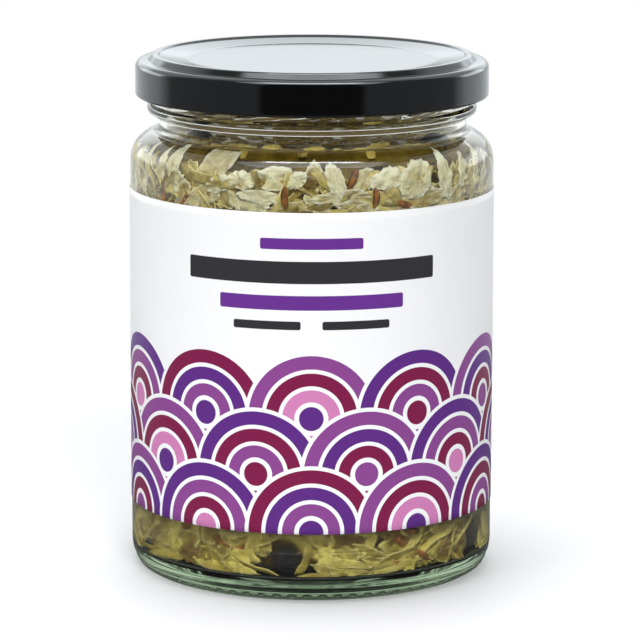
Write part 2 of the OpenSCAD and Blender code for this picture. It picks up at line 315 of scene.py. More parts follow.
brine_liquid, tree, shader = new_material("cloudy brine", Base_Color=(1, 1, 1, 1), IOR=1.333,
                                          Transmission_Weight=1.0)
place = put(tree, "TexCoord")
height = put(tree, "SeparateXYZ", [(0, place.outputs["Object"])]).outputs["Z"]
haze = put(tree, "MapRange", [("Value", height), ("From Min", 0.016), ("From Max", 0.026),
                              ("To Min", 0.4), ("To Max", 0.0)])
haze = put(tree, "Mix", [("Factor", put(tree, "MapRange", [("Value", height), ("From Min", 0.0075),
                                                           ("From Max", 0.009)]).outputs[0]),
                         (2, 0.1), (3, haze.outputs[0])])
scum = put(tree, "MapRange", [("Value", height), ("From Min", 0.1032), ("From Max", 0.1036),
                              ("To Max", 0.22)])
tree.links.new(calc(tree, "ADD", haze.outputs[0], scum.outputs[0]), shader.inputs["Roughness"])
tint = put(tree, "VolumeAbsorption", [("Color", (0.95, 0.84, 0.10, 1)), ("Density", 120.0)])
tree.links.new(tint.outputs[0], tree.nodes["Material Output"].inputs["Volume"])
lets_lamps_through(tree, shader, (1.0, 0.99, 0.93, 1))

brine = make_piece("brine", *turned(brine_line, 128, brine_shape), brine_liquid, "cabbage_in_brine")
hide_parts("sauerkraut")


# ---------------------------------------------------------------- Packed cabbage
# Fermented white cabbage, cut in shreds and pressed down till the jar is full. The mass in the
# middle is one lumpy body, whose relief is the ends and edges of the shreds packed in it. Its dark
# olive-brown to near black colour is painted shade, for the depth behind the shreds.
CORE_R, CORE_TOP = 37.6, 101.6


def lumps(rng, count, round_most, up_most):
    """Random (waves round the axis, waves per mm of height, phase, share) for a sum of sine waves."""
    turns = rng.integers(2, round_most, count)
    climb = rng.uniform(-up_most, up_most, count)
    return turns, climb, rng.uniform(0, 2 * np.pi, count), rng.uniform(0.4, 1, count) / count ** 0.5


def relief(waves, a, z):
    """Sum of sine waves at angle a and height z."""
    turns, climb, phase, share = (w[:, None, None] for w in waves)
    return (share * np.sin(turns * a + climb * z + phase)).sum(0)


rng = np.random.default_rng(11)
coarse, fine = lumps(rng, 12, 9, 0.35), lumps(rng, 26, 60, 1.6)
core_line = np.concatenate([
    [[0, 6.8]], np.stack([np.linspace(4, CORE_R - 3, 10), np.linspace(6.8, 6.6, 10)], 1),
    arc([CORE_R - 3, 9.6], 3, 285, 355, 4),
    np.stack([np.full(74, CORE_R), np.linspace(11, CORE_TOP - 4, 74)], 1),
    arc([CORE_R - 4, CORE_TOP - 4], 4, 8, 84, 6),
    np.stack([np.linspace(CORE_R - 5, 2, 14), np.full(14, CORE_TOP)], 1), [[0, CORE_TOP]],
])


def core_shape(a, r, z):
    """Moves the side in and out by 0.9 mm x two reliefs, and the top up and down by 0.8 mm x relief."""
    push = 0.9 * relief(coarse, a, z) + 0.9 * relief(fine, a, z)
    side = smooth((r - 20) / 12)
    flat = 0.8 * relief(coarse, a * 0 + r * 0.4, r * np.cos(a) * 0.5 + r * 0.3 * np.sin(a))
    on_top = smooth((z - CORE_TOP + 6) / 5)
    return r + np.minimum(push, 1.6) * side * (1 - 0.4 * on_top), z + flat * on_top


def cabbage_finish(name, pale, deep, rim_light, streak, clear=0.0):
    """Wet cabbage: streaks between two greens along the leaf, veins as bump, and each leaf's own tone.

    The attribute fibre gives (along, across, own number) in mm, and rim is 1 at a crimped edge, which
    takes the colour rim_light, a painted highlight for the light that comes through the thin edge. The
    middle of a leaf lets through the share clear of what lies behind it.
    """
    material, tree, shader = new_material(name, Roughness=0.16, IOR=1.4)
    fibre = put(tree, "Attribute", attribute_name="fibre").outputs["Vector"]
    drawn_out = put(tree, "Mapping", [("Vector", fibre), ("Scale", (0.42, 1.0, 1.0))]).outputs[0]
    grain = put(tree, "TexNoise", [("Vector", drawn_out), ("Scale", streak), ("Detail", 4.0),
                                   ("Roughness", 0.6), ("Distortion", 0.5)])
    cloud = put(tree, "TexNoise", [("Vector", fibre), ("Scale", streak / 3), ("Detail", 2.0)])
    own = put(tree, "Attribute", attribute_name="tone").outputs["Fac"]
    mix = calc(tree, "MULTIPLY_ADD", grain.outputs[0], 0.9,
               calc(tree, "MULTIPLY_ADD", own, 0.7, calc(tree, "MULTIPLY", cloud.outputs[0], 0.9)))
    ramp = put(tree, "ValToRGB", [(0, calc(tree, "SUBTRACT", mix, 0.75))])
    ramp.color_ramp.elements[0].color = (*deep, 1)
    ramp.color_ramp.elements[0].position = 0.15
    ramp.color_ramp.elements[1].color = (*pale, 1)
    ramp.color_ramp.elements[1].position = 0.85
    # Painted highlight: the crimped rim takes a paler colour, for the light that shines through a thin edge.
    rim = put(tree, "Attribute", attribute_name="rim").outputs["Fac"]
    rim_lit_colour = put(tree, "Mix", [("Factor", rim)], data_type="RGBA")
    tree.links.new(ramp.outputs[0], rim_lit_colour.inputs[6])
    rim_lit_colour.inputs[7].default_value = (*rim_light, 1)
    tree.links.new(rim_lit_colour.outputs[2], shader.inputs["Base Color"])
    veins = put(tree, "TexNoise", [("Vector", drawn_out), ("Scale", streak * 2.5), ("Detail", 3.0),
                                   ("Distortion", 1.0)])
    folds = put(tree, "TexNoise", [("Vector", fibre), ("Scale", streak * 0.5), ("Detail", 2.0)])
    bulge = put(tree, "Bump", [("Strength", 0.6), ("Distance", 0.0016), ("Height", folds.outputs[0])])
    bump = put(tree, "Bump", [("Strength", 0.6), ("Distance", 0.0003), ("Height", veins.outputs[0]),
                              ("Normal", bulge.outputs[0])])
    tree.links.new(bump.outputs[0], shader.inputs["Normal"])
    if clear:
        solid = put(tree, "MapRange", [("Value", calc(tree, "MULTIPLY_ADD", grain.outputs[0], 0.8, rim)),
                                       ("From Min", 0.25), ("From Max", 0.8), ("To Min", 1 - clear)])
        tree.links.new(solid.outputs[0], shader.inputs["Alpha"])
    return material


# Painted shade: the heart is coloured dark olive-brown to near black, as it lies in shade behind the shreds.
packed = cabbage_finish("packed cabbage in painted shade", (0.34, 0.26, 0.06), (0.05, 0.03, 0.005), (0, 0, 0), 0.5)
points, faces = turned(core_line, 300, core_shape)
make_piece("cabbage_heart", points, faces, packed, "cabbage_in_brine",
                   tone=np.full(len(points), 0.4), rim=np.zeros(len(points)), fibre=points)


# ---------------------------------------------------------------- Shreds at the glass
# Shreds 1 to 3 mm wide that lie against the glass in all directions, some crimped or frilled
# at their edges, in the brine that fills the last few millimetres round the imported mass.
cavity = glass_inside(0)
cavity = cavity[np.concatenate([[True], np.diff(cavity[:, 1]) > 0])]


def room(z):
    """How far out the cavity reaches at a height."""
    return np.interp(z, cavity[9:, 1], cavity[9:, 0])


def flat_tubes(path, out, width, thick, twist, frill, waves, rng, around=8):
    """Flattened tubes along paths [shred, step, xyz]. A ring is centre + side w cos b + normal t sin b.

    side and normal turn about the path by twist, and both edges wave by frill along the normal.
    """
    count, steps = path.shape[:2]
    along = np.gradient(path, axis=1)
    along /= np.linalg.norm(along, axis=-1, keepdims=True)
    side = np.cross(along, out)
    side /= np.linalg.norm(side, axis=-1, keepdims=True)
    normal = np.cross(side, along)
    c, s = np.cos(twist)[..., None], np.sin(twist)[..., None]
    side, normal = side * c + normal * s, normal * c - side * s
    share = np.linspace(0, 1, steps)[None, :]
    ends = (1 - np.abs(2 * share - 1) ** 5) ** 0.5 * 0.92 + 0.08
    wobble = 1 + 0.28 * np.sin(share * rng.uniform(6, 20, (2, count, 1)) + rng.uniform(0, 6, (2, count, 1)))
    left, right = (width[:, None] / 2 * ends * wobble)[..., None]
    b = np.arange(around) * 2 * np.pi / around
    u, h = np.cos(b), np.sin(b)
    turn = share * waves[:, None] + rng.uniform(0, 6, (count, 1))
    edge = np.sin(turn[..., None] + 1.3 * u) * np.abs(u) ** 1.5
    across = np.where(u > 0, right, left) * u
    through = thick[:, None, None] / 2 * h * ends[..., None] + frill[:, None, None] * edge
    return (path[:, :, None] + side[:, :, None] * across[..., None]
            + normal[:, :, None] * through[..., None])


def tube_faces(points):
    """Faces that close each of many tubes, for points [tube, ring, place round it, xyz]."""
    count, rings, around = points.shape[:3]
    index = np.arange(count * rings * around).reshape(count, rings, around)
    beside = np.roll(index, -1, axis=2)
    walls = np.stack([index[:, :-1], beside[:, :-1], beside[:, 1:], index[:, 1:]], -1).reshape(-1, 4)
    lid = np.array([(0, k, k + 1, k + 2) for k in range(1, around - 2, 2)])
    near, far = index[:, 0][:, lid[:, ::-1]].reshape(-1, 4), index[:, -1][:, lid].reshape(-1, 4)
    return [np.concatenate([walls, near, far])]


def kept_inside(points, low=6.0, high=101.5, clear=0.12):
    """Presses what would reach through the glass or the floor flat against it."""
    points[..., 2] = np.clip(points[..., 2], low, high)
    r = np.hypot(points[..., 0], points[..., 1])
    share = np.minimum(1, (room(points[..., 2]) - clear) / np.maximum(r, 1e-6))
    points[..., :2] *= share[..., None]
    return points


def wall_shreds(rng, count, angles, heights, steps=14):
    """Paths that wander over a cylinder: heading = start + bend t + wiggle, depth = start + wave."""
    length = rng.uniform(9, 30, count)
    t = np.linspace(0, 1, steps)[None, :]
    pick = rng.uniform(0, 1, (10, count, 1))
    heading = (pick[0] - 0.5) * 1.5 + (pick[1] - 0.5) * 2.6 * t
    heading = heading + 0.5 * (pick[2] - 0.5) * np.sin(9 * t + 6 * pick[3])
    step = length[:, None] / (steps - 1)
    arc_at = np.cumsum(np.cos(heading) * step, 1)
    climb = np.cumsum(np.sin(heading) * step, 1)
    angle = angles[0] + (angles[1] - angles[0]) * pick[4] + (arc_at - arc_at[:, steps // 2, None]) / 39
    z = heights[0] + (heights[1] - heights[0]) * pick[5] + climb - climb[:, steps // 2, None]
    r = 38.2 + 1.8 * pick[6] ** 0.7 + 0.7 * np.sin(5 * t * pick[7] + 6 * pick[8])
    path = np.stack([r * np.cos(angle), r * np.sin(angle), z], -1)
    out = np.stack([np.cos(angle), np.sin(angle), 0 * angle], -1)
    return path, out


def shred_piece(name, rng, path, out, material, widths, frills, around=8, high=101.8, lean=0.45):
    """One piece of many shreds along the given paths."""
    count, steps = path.shape[:2]
    twist = rng.normal(0, lean, (count, 1)) + rng.normal(0, lean, (count, 1)) * np.linspace(-1, 1, steps)
    width = rng.uniform(*widths, count)
    points = flat_tubes(path, out, width, rng.uniform(0.35, 0.8, count), twist,
                        rng.uniform(*frills, count), rng.uniform(8, 26, count), rng, around)
    points = kept_inside(points, high=high)
    shape = points.shape[:3]
    round_it = np.arange(around) * 2 * np.pi / around
    along = np.linspace(0, 20, steps)[None, :, None] + np.zeros(shape)
    across = width[:, None, None] / 2 * np.cos(round_it) + np.zeros(shape)
    own = np.arange(count)[:, None, None] * 7.3 + np.zeros(shape)
    # rim is 1 at the shreds' edges, where the finish paints a highlight.
    return make_piece(name, points.reshape(-1, 3), tube_faces(points), material, "cabbage_in_brine",
                      tone=np.repeat(rng.beta(2.0, 2.0, count), steps * around),
                      rim=(np.abs(np.cos(round_it)) ** 6 + np.zeros(shape)).ravel(),
                      fibre=np.stack([along, across, own], -1).reshape(-1, 3))


SEEN = np.array([[-98.4, 95.8, 2], [-76.7, 100.2, 2], [-69.8, 95.4, 2], [-145.4, 93.9, 2], [-93.5, 98.6, 2],
                 [-98.3, 10.2, 3.6], [-22.5, 10.8, 3.6]])


def off_the_berries(path, out):
    """The paths, and their outward directions, that keep clear of the places listed in SEEN."""
    angle = np.degrees(np.arctan2(path[..., 1], path[..., 0]))[..., None]
    gap = np.hypot((angle - SEEN[:, 0]) * 0.71, path[..., 2, None] - SEEN[:, 1]) - SEEN[:, 2]
    clear = gap.min((1, 2)) > 0.6
    return path[clear], out[clear]


leaf = cabbage_finish("cabbage shreds", (0.82, 0.68, 0.28), (0.14, 0.09, 0.012), (0.95, 0.84, 0.46), 0.9)
full = (0, 2 * np.pi)
rng = np.random.default_rng(5)
murky = cabbage_finish("sunk leaf", (0.92, 0.80, 0.26), (0.30, 0.215, 0.04), (0.98, 0.90, 0.40), 0.45)
shred_piece("upper_shreds", rng, *wall_shreds(rng, 300, full, (86, 99)), leaf, (0.9, 3.2), (0.05, 0.5),
            high=101)
shred_piece("lower_shreds", rng, *off_the_berries(*wall_shreds(rng, 290, full, (6, 21))), murky, (0.9, 3.2),
            (0.05, 0.4))
shred_piece("back_shreds", rng, *wall_shreds(rng, 330, (1.15, 1.99), (18, 88)), leaf, (0.9, 3.6),
            (0.05, 0.4))


# ---------------------------------------------------------------- Frilled leaf pieces
# Scraps of leaf 5 to 15 mm long, thin and pale, with ruffled rims. The lightest have risen to
# the shoulder, and those in front are laid one by one.
SCRAP_RINGS = np.array([0.3, 0.52, 0.7, 0.85, 0.95])


def scraps(rng, rows, around=28, flat=False):
    """Closed ruffled sheets from rows (angle, height, depth, spin, long, short), in degrees and mm.

    Outline = half length x (1 + lobes of 2 to 6 waves). Lift = cup rho^2 + frill rho^3 sin(n phi) + a
    crumple of 0.4 mm, and the half thickness is 0.3 (1 - rho^6)^0.5. A sheet is bent round the jar's
    wall. A flat one lies in the brine's surface, and the first three of its row are x, height and y.
    """
    rows = np.array(rows, float)
    count = len(rows)
    angle, height, deep, spin, half_long, half_short = (rows[:, k, None, None] for k in range(6))
    rho = np.concatenate([SCRAP_RINGS, [1.0], SCRAP_RINGS[::-1]])[None, :, None]
    face = np.concatenate([np.ones(5), [0], -np.ones(5)])[None, :, None]
    phi = (np.arange(around) * 2 * np.pi / around)[None, None, :]
    pick = rng.uniform(0, 2 * np.pi, (9, count, 1, 1))
    size = rng.uniform(0, 1, (6, count, 1, 1))
    outline = 1 + sum(0.30 / j * (size[j % 6] - 0.2) * np.cos(j * phi + pick[j]) for j in range(2, 7))
    waves = np.round(6 + 8 * size[0])
    outline = outline * (1 + 0.04 * np.sin(waves * phi + pick[7])
                         + 0.03 * np.sin(2.0 * waves * phi + pick[0]))
    s = rho * half_long * outline * np.cos(phi)
    t = rho * half_short * outline * np.sin(phi)
    lift = (0.4 * half_short * (size[1] - 0.3) * rho ** 2 * np.cos(2 * phi + pick[8])
            + (0.15 + 0.45 * size[2]) * rho ** 3 * np.sin(waves * phi + pick[1] + 2 * rho))
    lift = lift + 0.4 * np.sin(1.5 * s + pick[2]) * np.sin(1.8 * t + pick[3]) * np.minimum(1, 2 * rho)
    lift = lift + face * 0.3 * np.sqrt(1 - rho ** 6) * (1 - 0.3 * size[3])
    centre = np.zeros((count, 1, 1))
    caps = [[0.3 * (1 - 0.3 * size[3, :, :, 0:1]) * sign for sign in (1, -1)]]
    s, t, lift = (a.reshape(count, -1) for a in (s, t, lift))
    s = np.concatenate([s, np.zeros((count, 2))], 1)
    t = np.concatenate([t, np.zeros((count, 2))], 1)
    lift = np.concatenate([lift, caps[0][0][:, :, 0], caps[0][1][:, :, 0]], 1)
    c, n = np.cos(np.radians(spin[:, :, 0])), np.sin(np.radians(spin[:, :, 0]))
    over, up = s * c - t * n, s * n + t * c
    lift = lift + over * 0.25 * (size[4, :, :, 0] - 0.5) + up * 0.3 * (size[5, :, :, 0] - 0.5)
    angle, height, deep = angle[:, :, 0], height[:, :, 0], deep[:, :, 0]
    if flat:
        points = np.stack([angle + over, deep + up, height + lift], -1)
    else:
        a, r = np.radians(angle) + over / deep, deep + lift
        points = np.stack([r * np.cos(a), r * np.sin(a), height + up], -1)
    index = np.arange(11 * around).reshape(11, around)
    beside = np.roll(index, -1, axis=1)
    walls = np.stack([index[:-1], index[1:], beside[1:], beside[:-1]], -1).reshape(-1, 4)
    first, last = np.full(around, 11 * around), np.full(around, 11 * around + 1)
    ends = np.concatenate([np.stack([first, index[0], beside[0]], -1),
                           np.stack([last, beside[-1], index[-1]], -1)])
    shift = (np.arange(count) * points.shape[1])[:, None, None]
    faces = [(walls + shift).reshape(-1, 4), (ends + shift).reshape(-1, 3)]
    # rim is 1 at the outer edge, where the finish paints a highlight.
    rim = np.concatenate([(rho ** 8 + 0 * phi).ravel(), [0, 0]])
    fibre = np.stack([s, t, np.arange(count)[:, None] * 7.3 + 0 * s], -1)
    return points, faces, np.tile(rim, count), fibre.reshape(-1, 3)


def scrap_piece(name, rng, rows, material, tones, high=101.5, around=28, flat=False):
    """One piece of many leaf scraps, kept inside the glass."""
    points, faces, rim, fibre = scraps(rng, rows, around, flat)
    points = kept_inside(points, high=high)
    tone = np.repeat([row[6] if len(row) > 6 else rng.uniform(*tones) for row in rows], points.shape[1])
    return make_piece(name, points.reshape(-1, 3), faces, material, "cabbage_in_brine",
                      tone=tone, rim=rim, fibre=fibre)


def strewn_scraps(rng, count, angles, heights, depths, longs, shorts):
    """Rows for scraps spread evenly over part of the wall, turned any way."""
    spans = (angles, heights, depths, (-90, 90), longs, shorts)
    return np.stack([rng.uniform(*span, count) for span in spans], 1)


LAID = (
    # angle, height, depth, spin, half length, half width, tone
    (-141, 99.2, 40.4, 84, 5.4, 2.2, 0.7), (-148, 98.4, 40.2, 70, 4.6, 1.8, 0.7),
    (-157, 98.0, 40.2, 82, 4.8, 1.5, 0.8), (-124, 101.0, 39.4, 42, 6.2, 3.4, 0.6),
    (-121, 97.8, 40.5, 12, 3.4, 2.0, 0.9), (-113, 99.0, 40.3, -10, 3.4, 2.0, 0.8),
    (-102, 99.6, 40.0, 5, 4.8, 2.6, 0.8), (-106.5, 95.6, 40.7, -4, 5.8, 1.5, 0.8),
    (-89.5, 99.6, 39.2, 80, 3.4, 2.2, 0.3), (-82.4, 99.2, 40.5, -68, 3.9, 2.0, 0.8),
    (-80.5, 95.6, 40.6, 3, 7.6, 1.6, 0.5), (-73.0, 99.2, 39.9, 20, 3.0, 2.4, 0.6),
    (-65.3, 99.2, 40.5, 14, 4.2, 2.4, 1.0), (-54.5, 98.4, 40.3, 30, 5.0, 3.8, 0.7),
    (-51.5, 94.4, 40.5, 10, 6.5, 2.6, 0.3), (-42.0, 98.4, 40.4, -80, 5.0, 2.2, 0.9),
    (-33.0, 99.0, 40.3, 78, 3.4, 1.6, 0.7), (-24.0, 99.2, 40.2, 74, 4.2, 1.3, 0.9),
    (-128, 94.6, 40.3, 20, 5.4, 2.4, 0.3), (-136, 94.4, 40.3, 60, 4.0, 1.9, 0.3),
    (-62, 93.8, 40.1, -30, 5.0, 2.0, 0.3), (-35, 94.6, 40.3, 30, 5.0, 2.0, 0.3),
    (-18, 96.0, 40.2, 80, 4.6, 1.6, 0.6), (-166, 96.0, 40.2, 75, 4.8, 1.8, 0.6),
    (-97, 92.8, 40.0, 10, 6.0, 2.0, 0.4), (-116, 95.0, 40.2, -60, 3.0, 1.4, 0.6),
    (-88, 93.4, 40.0, -40, 4.0, 1.8, 0.5), (-110, 93.2, 40.3, 15, 5.0, 2.0, 0.6),
    (-75, 93.0, 40.3, -10, 5.5, 1.8, 0.6), (-45, 92.6, 40.3, 8, 5.6, 2.2, 0.6),
    (-139, 97.0, 40.0, 50, 3.0, 2.2, 0.8), (-60, 96.6, 40.2, 60, 2.6, 1.8, 0.8),
    (-95, 99.4, 40.2, 30, 2.6, 1.8, 0.9),
)


def in_the_open(rows):
    """Leaves out the rows that would lie over the seeds, berries and gaps seen in front."""
    turned_by = (rows[:, None, 0] - SEEN[:, 0] + 180) % 360 - 180
    gap = np.hypot(turned_by * 0.71, rows[:, None, 1] - SEEN[:, 1]) - SEEN[:, 2]
    return rows[gap.min(1) > rows[:, 4] * 0.6]


scrap = cabbage_finish("pale leaf", (1.0, 0.88, 0.50), (0.22, 0.145, 0.022), (1.0, 0.96, 0.70), 1.0, 0.25)
crisp = cabbage_finish("pale crisp leaf", (1.0, 0.98, 0.80), (0.44, 0.31, 0.07), (1.0, 1.0, 0.94), 0.9, 0.1)
rows = in_the_open(strewn_scraps(rng, 170, (0, 360), (87, 99), (38.4, 39.8), (2.5, 6), (1.2, 3.0)))
scrap_piece("upper_scraps", rng, rows, scrap, (0.1, 0.9))
rows = in_the_open(strewn_scraps(rng, 260, (0, 360), (6, 18), (38.2, 40.5), (2.5, 7), (1.2, 3.2)))
scrap_piece("lower_scraps", rng, rows, murky, (0.0, 0.9))
# Dark olive-brown scraps: five low in the jar, and the last, at the shoulder in front, is painted shade that
# fills a dark gap between the leaves.
dark_leaf = cabbage_finish("dark leaf", (0.34, 0.22, 0.05), (0.10, 0.055, 0.01), (0.46, 0.33, 0.10), 0.5)
DARK_SCRAPS = (
    (-37, 9.3, 40.3, 8, 5.4, 2.0, 0.5), (-133, 9.4, 40.3, 30, 3.4, 2.6, 0.5),
    (-120, 12.5, 40.2, -20, 2.6, 1.8, 0.4), (-79, 14.0, 40.0, 5, 5.0, 1.6, 0.4),
    (-58, 13.2, 40.1, -15, 5.0, 1.4, 0.6), (-93.5, 98.4, 39.6, 10, 3.4, 1.8, 0.3),
)
scrap_piece("dark_scraps", rng, DARK_SCRAPS, dark_leaf, (0, 1), 101.5, 36)
rows = strewn_scraps(rng, 110, (66, 114), (18, 90), (38.6, 40.4), (3, 7), (1.6, 3.6))
scrap_piece("back_scraps", rng, rows, scrap, (0.1, 0.9))
scrap_piece("laid_scraps", rng, LAID, crisp, (0.35, 0.9), 103.6, 44)


# ---------------------------------------------------------------- Shreds in the surface
# Shreds that lie flat just under the brine's surface, with a few small scraps that break it.
def floating_shreds(rng, count, reach, depths, steps=14):
    """Curled paths in the brine's surface, spread evenly over its disc by the golden angle."""
    t = np.linspace(0, 1, steps)[None, :]
    pick = rng.uniform(0, 1, (6, count, 1))
    heading = 2 * np.pi * pick[0] + (pick[1] - 0.5) * 5 * t
    step = (4 + 12 * pick[2]) / (steps - 1)
    x, y = np.cumsum(np.cos(heading) * step, 1), np.cumsum(np.sin(heading) * step, 1)
    k = np.arange(count)[:, None]
    from_axis, turn = reach * np.sqrt((k + 0.5) / count), k * np.radians(137.5)
    x = x - x[:, steps // 2, None] + from_axis * np.cos(turn)
    y = y - y[:, steps // 2, None] + from_axis * np.sin(turn)
    far = np.maximum(1, np.hypot(x, y) / 34.0)
    z = LEVEL + depths[0] + (depths[1] - depths[0]) * pick[3] + 0.25 * np.sin(6 * t * pick[4] + 6 * pick[5])
    path = np.stack([x / far, y / far, z], -1)
    return path, np.broadcast_to(np.array([0.0, 0.0, 1.0]), path.shape)


shred_piece("sunk_shreds", rng, *floating_shreds(rng, 200, 33, (-2.8, -0.9)), leaf, (1.2, 3.4), (0.1, 0.4),
            high=103.5, lean=0.2)
FLOATING = (
    # x, height, y, spin, half length, half width
    (23, LEVEL - 0.2, -20, 40, 2.6, 1.4), (-20, LEVEL - 0.2, -22, 30, 3.4, 1.8),
    (-28, LEVEL - 0.1, -10, 70, 2.8, 1.6), (4, LEVEL - 0.1, -16, 50, 3.0, 1.8),
    (-12, LEVEL - 0.2, -14, -40, 3.4, 2.0), (20, LEVEL - 0.1, 2, 20, 3.2, 2.0),
    (-6, LEVEL - 0.1, 6, 0, 3.6, 2.2), (10, LEVEL - 0.2, 18, 60, 3.4, 2.0),
    (-18, LEVEL - 0.1, 16, -30, 3.2, 1.8), (0, LEVEL - 0.2, 28, 10, 3.6, 1.8),
    (27, LEVEL - 0.1, 14, 80, 3.0, 1.6),
)
yellowed = cabbage_finish("floating leaf", (1.0, 0.80, 0.20), (0.34, 0.20, 0.015), (1.0, 0.90, 0.42), 0.9)
yellowed.node_tree.nodes["Principled BSDF"].inputs["Roughness"].default_value = 0.4
yellowed.node_tree.nodes["Principled BSDF"].inputs["Specular IOR Level"].default_value = 0.3
RAFT, RAFT_REACH, RAFT_FRONT = 84, 33, -20
k = np.arange(RAFT)
turn, from_axis = k * np.radians(137.5), RAFT_REACH * np.sqrt((k + 0.5) / RAFT)
raft = np.stack([from_axis * np.cos(turn), LEVEL + rng.uniform(-0.2, 0.3, RAFT), from_axis * np.sin(turn),
                 rng.uniform(-90, 90, RAFT), rng.uniform(2.0, 4.6, RAFT), rng.uniform(1.2, 2.6, RAFT)], 1)
raft = raft[raft[:, 2] > RAFT_FRONT]
scrap_piece("floating_scraps", rng, FLOATING, yellowed, (0.3, 0.9), LEVEL + 2.4, 36, True)
# A few scraps in front have curled up out of the surface.
CURLED_UP = (
    # angle, height, depth, spin, half length, half width, tone
    (-107.5, LEVEL + 0.9, 30.0, 10, 2.3, 1.4, 0.8), (-89.2, LEVEL + 0.3, 29.8, 5, 2.9, 1.2, 0.9),
    (-79.0, LEVEL + 0.1, 30.4, 0, 0.9, 0.8, 0.9), (-58.0, LEVEL + 0.5, 29.0, 8, 3.1, 1.8, 0.7),
    (-122.0, LEVEL + 0.2, 29.5, -5, 3.4, 1.2, 0.5), (-69.0, LEVEL - 0.1, 30.6, 0, 1.8, 0.8, 0.6),
)
scrap_piece("curled_scraps", rng, CURLED_UP, yellowed, (0.3, 0.9), LEVEL + 2.6, 36)
scrap_piece("surface_scraps", rng, raft, yellowed, (0.0, 0.6), LEVEL + 1.5, 28, True)


# ---------------------------------------------------------------- Caraway seeds
# Ridged, slightly curved brown seeds about 5 mm long, scattered through the cabbage.
def caraway(places, lean, rng, rings=9, around=10):
    """Curved spindles: radius 0.12 + 0.68 sin(pi t)^0.6, five ridges round it, bowed by 0.45 mm."""
    t = np.linspace(0, 1, rings)
    b = np.arange(around) * 2 * np.pi / around
    count = len(places)
    length = rng.uniform(4.6, 5.9, count)[:, None, None]
    girth = (0.12 + 0.68 * np.sin(np.pi * t) ** 0.6)[None, :, None] * (1 + 0.15 * np.cos(5 * b))
    run = (t[None, :, None] - 0.5) * length + 0 * b
    bow = 0.45 * np.sin(np.pi * t)[None, :, None] * rng.uniform(-1, 1, count)[:, None, None]
    x, y = girth * np.cos(b) + bow, girth * np.sin(b)
    c, s = np.cos(lean)[:, None, None], np.sin(lean)[:, None, None]
    side, up = x * c - run * s, x * s + run * c
    angle, z, deep = (places[:, k, None, None] for k in range(3))
    ca, sa = np.cos(np.radians(angle)), np.sin(np.radians(angle))
    r = deep + y
    return np.stack([r * ca - side * sa, r * sa + side * ca, z + up], -1)


rng = np.random.default_rng(23)
seen = np.array([[-98.4, 95.8, 41.0], [-76.7, 100.2, 41.0], [-69.8, 95.4, 41.0], [-145.4, 93.9, 41.0],
                 [-13.5, 98.2, 40.6], [-120.0, 13.0, 40.2], [-60.0, 14.2, 40.3], [-59.0, 93.6, 40.4]])
seen_lean = np.array([0.03, -0.5, -0.04, 0.1, -0.2, 1.1, 0.5, 1.2])
count = 46
strewn = np.stack([rng.uniform(*span, count) for span in ((0, 360), (86, 101), (38.8, 40.2))], 1)
strewn[count // 2:, 1] = rng.uniform(8, 18, count - count // 2)
strewn[:8, :2] = np.stack([rng.uniform(70, 110, 8), rng.uniform(22, 84, 8)], 1)
turned_by = (strewn[:, None, 0] - SEEN[:, 0] + 180) % 360 - 180
strewn = strewn[np.hypot(turned_by * 0.71, strewn[:, None, 1] - SEEN[:, 1]).min(1) > 6]
points = kept_inside(caraway(np.concatenate([seen, strewn]),
                             np.concatenate([seen_lean, rng.uniform(-1.6, 1.6, len(strewn))]), rng))
seed_coat, tree, shader = new_material("caraway seed coat", Roughness=0.4)
place = put(tree, "TexCoord")
blotch = put(tree, "TexNoise", [("Vector", place.outputs["Object"]), ("Scale", 500.0), ("Detail", 3.0)])
ramp = put(tree, "ValToRGB", [(0, blotch.outputs[0])])
ramp.color_ramp.elements[0].color = (0.13, 0.045, 0.014, 1)
ramp.color_ramp.elements[0].position = 0.35
ramp.color_ramp.elements[1].color = (0.55, 0.21, 0.04, 1)
ramp.color_ramp.elements[1].position = 0.7
tree.links.new(ramp.outputs[0], shader.inputs["Base Color"])
make_piece("caraway_seeds", points.reshape(-1, 3), tube_faces(points), seed_coat, "cabbage_in_brine")


# ---------------------------------------------------------------- Juniper berries
# Dried blue-black berries 7 mm across, wrinkled by the brine, with the three-armed seam of
# their scales at the top. Two float by the neck and two are packed in near the bottom.
def berry(centre, tilt, turn, rng):
    """A ball of radius 3.42 x (0.95 + wrinkles - dimple), with a three-armed seam at its pole."""
    line = np.stack([np.sin(np.linspace(0, np.pi, 25)), -np.cos(np.linspace(0, np.pi, 25))], 1)
    line[[0, -1], 0] = 0
    creases = lumps(rng, 14, 7, 1.0)

    def shape(a, r, z):
        wrinkle = 0.035 * relief(creases, a, z * 5)
        seam = 0.07 * np.exp(-((np.sin(1.5 * a) / 0.16) ** 2)) * smooth((z - 0.72) / 0.15) * smooth(r / 0.1)
        grow = 3.42 * (1 - 0.05 + wrinkle - seam - 0.10 * smooth((z - 0.9) / 0.1))
        return r * grow, z * grow

    points, faces = turned(line, 48, shape)
    turn_to = np.array(Matrix.Rotation(turn, 3, "Z") @ Matrix.Rotation(tilt, 3, "X"))
    return points @ turn_to.T + np.array(centre), faces


